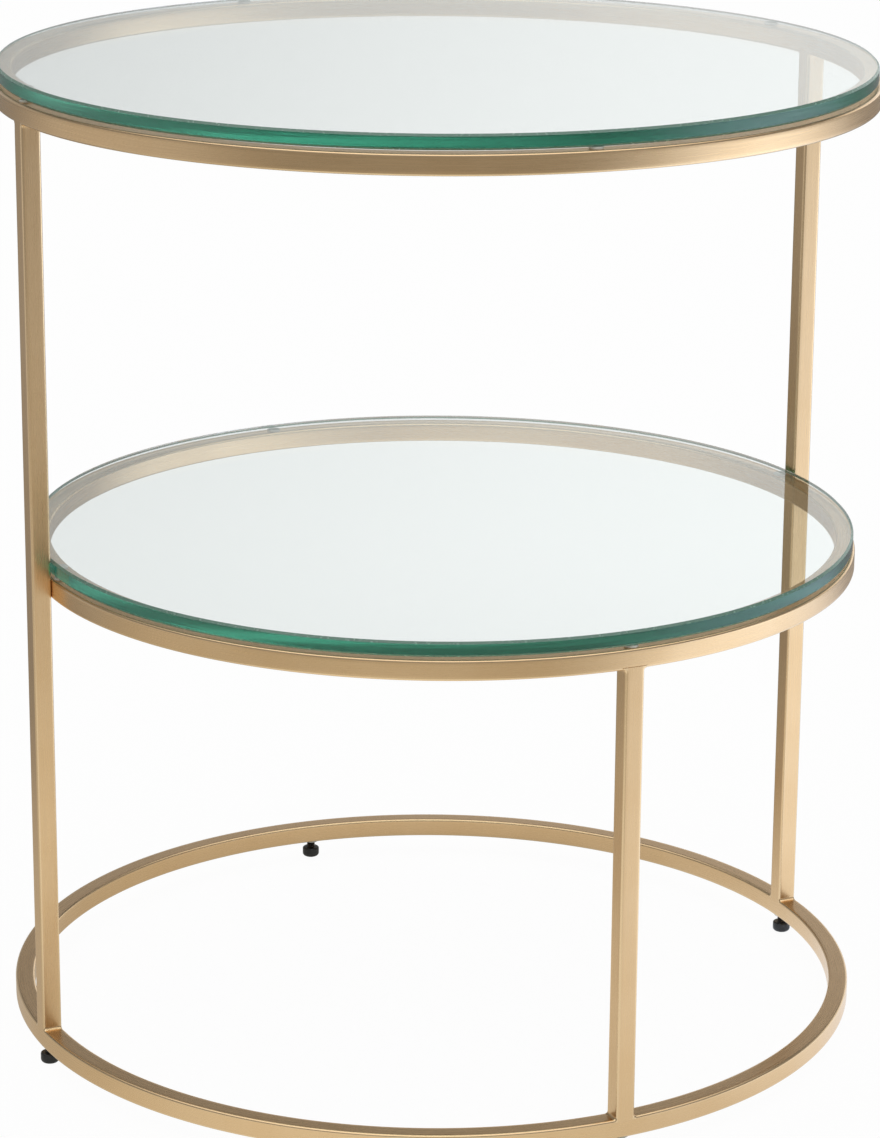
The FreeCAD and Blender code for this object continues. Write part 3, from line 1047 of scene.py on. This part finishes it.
@dataclass
class LevellingFoot:
    """One foot: a moulded pad, a threaded stud in it and the insert that the stud turns in."""

    side: Side
    pad_finish: Material
    stud_finish: Material
    insert_finish: Material
    upper_round: float = 1.2 * MM
    upper_steps: int = 6
    sole_round: float = 2.4 * MM
    sole_steps: int = 8
    bore: float = 6.1 * MM
    socket_depth: float = 4.5 * MM
    thread_pitch: float = 1.0 * MM
    thread_depth: float = 0.55 * MM
    thread_sides: int = 48
    turn_steps: int = 8
    thread_sharp: float = 50.0
    bevel: float = 0.8 * MM
    flange_lip: float = 0.8 * MM
    barrel: float = 8.0 * MM
    ease: float = 0.2 * MM
    seam: float = 0.001 * MM
    steps: int = 64
    sharp: float = 40.0

    def build(self) -> None:
        """Build the three pieces and hang each on its body."""
        self._pad()
        self._stud()
        self._insert()

    def _pad(self) -> None:
        """Turn the pad with its rounded edges and the stud's socket."""
        node = f"foot_pad_{self.side.value}"
        box = measure(node)
        radius, height = box.width / 2, box.height
        sole, top = self.sole_round, self.upper_round
        outline = [(0.0, 0.0)]
        outline += arc((radius - sole, sole), sole, -RIGHT_ANGLE, 0.0, self.sole_steps)
        outline += arc((radius - top, height - top), top, 0.0, RIGHT_ANGLE, self.upper_steps)
        outline += [
            (self.bore / 2, height),
            (self.bore / 2, height - self.socket_depth),
            (0.0, height - self.socket_depth),
        ]
        shape = lathe(outline, box.sole, self.steps)
        pad = mesh_object(f"{node}_moulding", shape, [self.pad_finish], self.sharp)
        hang(pad, node, "black_plastic", node)

    def _stud(self) -> None:
        """Cut the stud's thread and hang it on its body."""
        node = f"foot_stud_{self.side.value}"
        box = measure(node)
        inputs = {
            "Radius": box.width / 2,
            "Length": box.height,
            "Pitch": self.thread_pitch,
            "Depth": self.thread_depth,
            "Bevel": self.bevel,
            "Sides": self.thread_sides,
            "Turns": round(box.height / self.thread_pitch),
            "Turn Steps": self.turn_steps,
            "Centre": tuple(box.middle),
        }
        stud = NodePiece(f"{node}_thread", inputs, self._thread, self.stud_finish)
        hang(stud.build(sharp=self.thread_sharp), node, "black_steel", node)

    def _thread(self, kit: NodeKit, given: Node) -> Socket:
        """Wind a right-handed thread round a bar with bevelled ends.

        Args:
            kit: The tree's nodes.
            given: The node of the tree's inputs.

        Returns:
            The threaded bar in its place.
        """
        radius, length = given.outputs["Radius"], given.outputs["Length"]
        wires = {
            "Vertices": given.outputs["Sides"],
            "Side Segments": kit.math("MULTIPLY", given.outputs["Turns"], given.outputs["Turn Steps"]),
            "Fill Segments": 1,
            "Radius": radius,
            "Depth": length,
        }
        bar = kit.add("GeometryNodeMeshCylinder", wires, fill_type="TRIANGLE_FAN").outputs[0]
        place = kit.add("GeometryNodeInputPosition").outputs[0]
        east, north, height = kit.add("ShaderNodeSeparateXYZ", {0: place}).outputs
        turn = kit.math("DIVIDE", kit.math("ARCTAN2", north, east), math.tau)
        climb = kit.math("DIVIDE", height, given.outputs["Pitch"])
        phase = kit.math("FRACT", kit.math("SUBTRACT", climb, turn))
        flank = kit.math("ABSOLUTE", kit.math("SUBTRACT", phase, 0.5))
        groove = kit.math("MULTIPLY", kit.math("MULTIPLY", flank, 2.0), given.outputs["Depth"])
        half = kit.math("MULTIPLY", length, 0.5)
        to_end = kit.math("SUBTRACT", half, kit.math("ABSOLUTE", height))
        taper = kit.math("MAXIMUM", 0.0, kit.math("SUBTRACT", given.outputs["Bevel"], to_end))
        cut = kit.math("MAXIMUM", groove, taper)
        share = kit.math("SUBTRACT", 1.0, kit.math("DIVIDE", cut, radius))
        across = {0: kit.math("MULTIPLY", east, share), 1: kit.math("MULTIPLY", north, share), 2: height}
        spot = kit.add("ShaderNodeCombineXYZ", across).outputs[0]
        return kit.moved(kit.shaped(bar, spot), given)

    def _insert(self) -> None:
        """Turn the insert: a flange under the ring and a barrel inside it."""
        node = f"foot_insert_{self.side.value}"
        box = measure(node)
        flange, height = box.width / 2, box.height
        outline = [
            (self.bore / 2, height),
            (self.bore / 2, self.ease),
            (self.bore / 2 + self.ease, 0.0),
            (flange - self.ease, 0.0),
            (flange, self.ease),
            (flange, self.flange_lip),
            (self.barrel / 2, self.flange_lip),
            (self.barrel / 2, height),
        ]
        shape = lathe(outline + outline[:1], box.sole, self.steps)
        bmesh.ops.remove_doubles(shape, verts=shape.verts, dist=self.seam)
        bmesh.ops.recalc_face_normals(shape, faces=shape.faces)
        insert = mesh_object(f"{node}_barrel", shape, [self.insert_finish], self.sharp)
        hang(insert, "frame", "zinc_steel", node)


# ---------------- The studio ----------------


@dataclass(frozen=True)
class Glow:
    """One soft patch of light in the room.

    Attributes:
        turn: Degrees to the right of straight ahead, as the camera looks.
        rise: Degrees above the horizon.
        core: Degrees from its middle within which it is at full level.
        reach: Degrees from its middle at which it has faded out.
        level: What it adds, where 1 is white.
    """

    turn: float
    rise: float
    core: float
    reach: float
    level: float


@dataclass(frozen=True)
class FloorGlow:
    """One soft patch of light on the floor.

    Attributes:
        right: Metres to the right of the table's middle, as the camera looks.
        near: Metres from the table's middle towards the camera.
        core: Metres from its own middle within which it is at full level.
        reach: Metres from its own middle at which it has faded out.
        level: What it adds, where 1 is white.
        tint: Its colour, a little cool where the light is strong.
    """

    right: float
    near: float
    core: float
    reach: float
    level: float
    tint: Colour = WHITE


@dataclass
class Studio:
    """The camera, the pale floor and the soft light round the table.

    Levels are shares of white. Headings and heights of light are in degrees, the camera's own pitch,
    yaw and roll in radians, and its lens and film in millimetres. The walls' span runs from behind the
    camera, -1, to straight ahead, 1, and their fade is given in degrees above the horizon.
    """

    heading: float = 64.78
    room_level: float = 0.14
    wall_levels: Span = (0.20, 0.29)
    wall_span: Span = (-0.2, 0.7)
    wall_fade: Span = (16.0, 24.0)
    wall_glows: tuple[Glow, ...] = (Glow(26, 0, 0, 40, 0.68),)
    room_glows: tuple[Glow, ...] = (Glow(180, 84, 20, 62, 1.15),)
    light_colour: Colour = WHITE
    floor_level: float = 0.245
    floor_glows: tuple[FloorGlow, ...] = (
        FloorGlow(-0.15, 1.0, 1.1, 1.6, 0.27, (1.04, 1.0, 0.84)),
        FloorGlow(0.9, 0.03, 0.5, 0.9, 0.62, (0.86, 1.02, 1.32)),
        FloorGlow(3.2, 0.22, 0.05, 2.95, 2.1, (0.89, 1.02, 1.26)),
        FloorGlow(-3.9, 0.35, 1.4, 3.3, 0.41, (0.97, 1.0, 1.05)),
        FloorGlow(-0.12, 0.61, 0.25, 0.56, 0.36, (0.92, 1.02, 1.12)),
        FloorGlow(0.0, -0.04, 0.0, 0.28, 0.40),
    )
    floor_colour: Colour = (0.93, 0.93, 0.93)
    floor_width: float = 24.0
    white_share: float = 0.965
    lens: float = 120.9
    film: float = 36.0
    sight: float = 50.0
    stand: tuple[float, float, float] = (-2.99 * MM, -2402.49 * MM, 1023.5 * MM)
    pitch: float = 0.2923
    yaw: float = 0.0028
    roll: float = 0.0071
    bounces: int = 24
    glossy_bounces: int = 16
    veil_bounces: int = 8

    def build(self) -> None:
        """Set up the room, the floor and the camera."""
        self._room()
        self._floor()
        self._camera()
        scene = bpy.context.scene
        scene.view_settings.view_transform = "Standard"
        scene.cycles.max_bounces = self.bounces
        scene.cycles.transmission_bounces = self.bounces
        scene.cycles.glossy_bounces = self.glossy_bounces
        scene.cycles.transparent_max_bounces = self.veil_bounces

    def _axes(self) -> tuple[Vector, Vector]:
        """Give the level directions of the camera's look.

        Returns:
            Straight ahead, and to the right.
        """
        turn = math.radians(self.heading)
        ahead = Vector((math.cos(turn), math.sin(turn), 0.0))
        return ahead, ahead.cross(UP)

    def _seen_straight(self, kit: NodeKit) -> Socket:
        """Tell whether something is seen directly or through glass, and not in a reflection.

        Args:
            kit: The nodes of the room or the floor.

        Returns:
            1 where it is, and 0 where it isn't.
        """
        half_bounce = 0.5
        path = kit.add("ShaderNodeLightPath").outputs
        bounced = kit.math("ADD", path["Glossy Depth"], path["Diffuse Depth"])
        direct = kit.math("MAXIMUM", path["Is Camera Ray"], path["Is Transmission Ray"])
        return kit.math("MULTIPLY", kit.math("LESS_THAN", bounced, half_bounce), direct)

    def _room(self) -> None:
        """Light the room with soft patches, white where it is seen directly."""
        world = bpy.data.worlds.new("studio_room")
        world.use_nodes = True
        bpy.context.scene.world = world
        kit = NodeKit(world.node_tree)
        way = kit.add("ShaderNodeTexCoord").outputs["Generated"]
        ahead, _ = self._axes()
        height = kit.add("ShaderNodeSeparateXYZ", {0: way}).outputs[2]
        level_way = kit.vector("NORMALIZE", kit.vector("MULTIPLY", way, (1.0, 1.0, 0.0)))
        facing = kit.vector("DOT_PRODUCT", level_way, tuple(ahead))
        wall = kit.ramp(facing, self.wall_span, self.wall_levels)
        for glow in self.wall_glows:
            wall = kit.math("ADD", wall, self._patch(kit, glow, level_way))
        fade = [math.sin(math.radians(rise)) for rise in self.wall_fade]
        level = kit.math("MULTIPLY", wall, kit.ramp(height, fade, to=(1.0, 0.0)))
        level = kit.math("ADD", level, self.room_level)
        for glow in self.room_glows:
            level = kit.math("ADD", level, self._patch(kit, glow, way))
        colour = kit.blend(self._seen_straight(kit), kit.scaled(self.light_colour, level), rgba(WHITE))
        shader = kit.add("ShaderNodeBackground", {"Color": colour, "Strength": 1.0})
        kit.add("ShaderNodeOutputWorld", {"Surface": shader.outputs[0]})

    def _patch(self, kit: NodeKit, glow: Glow, way: Socket) -> Socket:
        """Give what one soft patch adds in a direction.

        Args:
            kit: The room's nodes.
            glow: The patch.
            way: The direction that is looked in.

        Returns:
            The light that it adds.
        """
        ahead, right = self._axes()
        turn = math.radians(glow.turn)
        rise = math.radians(glow.rise)
        middle = (ahead * math.cos(turn) + right * math.sin(turn)) * math.cos(rise) + UP * math.sin(rise)
        nearness = kit.vector("DOT_PRODUCT", way, tuple(middle))
        fall = (math.cos(math.radians(glow.reach)), math.cos(math.radians(glow.core)))
        return kit.ramp(nearness, fall, to=(0.0, glow.level))

    def _floor(self) -> None:
        """Lay the floor, which shows white with the table's shadow and glows softly in reflections."""
        half = self.floor_width / 2
        mesh = bpy.data.meshes.new("floor")
        corners = [(-half, -half, 0.0), (half, -half, 0.0), (half, half, 0.0), (-half, half, 0.0)]
        mesh.from_pydata(corners, [], [(0, 1, 2, 3)])
        floor = new_object("studio_floor", mesh)
        material, kit = new_material("studio_floor")
        place = kit.place()
        ahead, right = self._axes()
        lit: Any = (self.floor_level,) * 3
        for glow in self.floor_glows:
            middle = right * glow.right - ahead * glow.near
            away = kit.vector("DISTANCE", place, tuple(middle))
            level = kit.ramp(away, (glow.core, glow.reach), to=(glow.level, 0.0))
            lit = kit.vector("ADD", lit, kit.scaled(glow.tint, level))
        shown = kit.blend(self._seen_straight(kit), lit, rgba(WHITE, self.white_share))
        glowing = kit.add("ShaderNodeEmission", {"Color": shown, "Strength": 1.0})
        plain = kit.add("ShaderNodeBsdfDiffuse", {"Color": rgba(self.floor_colour, 1.0 - self.white_share)})
        both = kit.add("ShaderNodeAddShader", {0: glowing.outputs[0], 1: plain.outputs[0]})
        kit.add("ShaderNodeOutputMaterial", {"Surface": both.outputs[0]})
        mesh.materials.append(material)

    def _camera(self) -> None:
        """Stand the camera where the view is taken from."""
        data = bpy.data.cameras.new("view")
        data.sensor_width = self.film
        data.lens = self.lens
        data.clip_end = self.sight
        camera = bpy.data.objects.new("view", data)
        bpy.context.scene.collection.objects.link(camera)
        pitch, yaw, roll = self.pitch, self.yaw, self.roll
        look = Vector((math.sin(yaw) * math.cos(pitch), math.cos(yaw) * math.cos(pitch), -math.sin(pitch)))
        side = Vector((math.cos(yaw), -math.sin(yaw), 0.0))
        over = side.cross(look)
        right = side * math.cos(roll) + over * math.sin(roll)
        upward = over * math.cos(roll) - side * math.sin(roll)
        aim = Matrix((right, upward, -look)).transposed().to_4x4()
        round_table = Matrix.Rotation(math.radians(self.heading - RIGHT_ANGLE), 4, "Z")
        camera.matrix_world = round_table @ Matrix.Translation(self.stand) @ aim
        bpy.context.scene.camera = camera


# ---------------- The whole table ----------------


def main() -> None:
    """Build the table from the frame outwards, then the studio round it."""
    logging.basicConfig(level=logging.INFO, format="%(message)s")
    SquareTubeFrame(SatinBrass()).build()
    glass = FloatGlass()
    vinyl = ClearVinyl()
    for tier in GLASS_TIERS:
        GlassTier(tier, glass).build()
        BumperSet(tier, vinyl).build()
    pad_finish = MouldedPlastic().make("black_plastic_pads")
    stud_finish = BLACK_STEEL.make("black_steel_studs")
    insert_finish = ZINC_STEEL.make("zinc_steel_inserts")
    for side in Side:
        LevellingFoot(side, pad_finish, stud_finish, insert_finish).build()
    Studio().build()


if __name__ == "__main__":
    main()
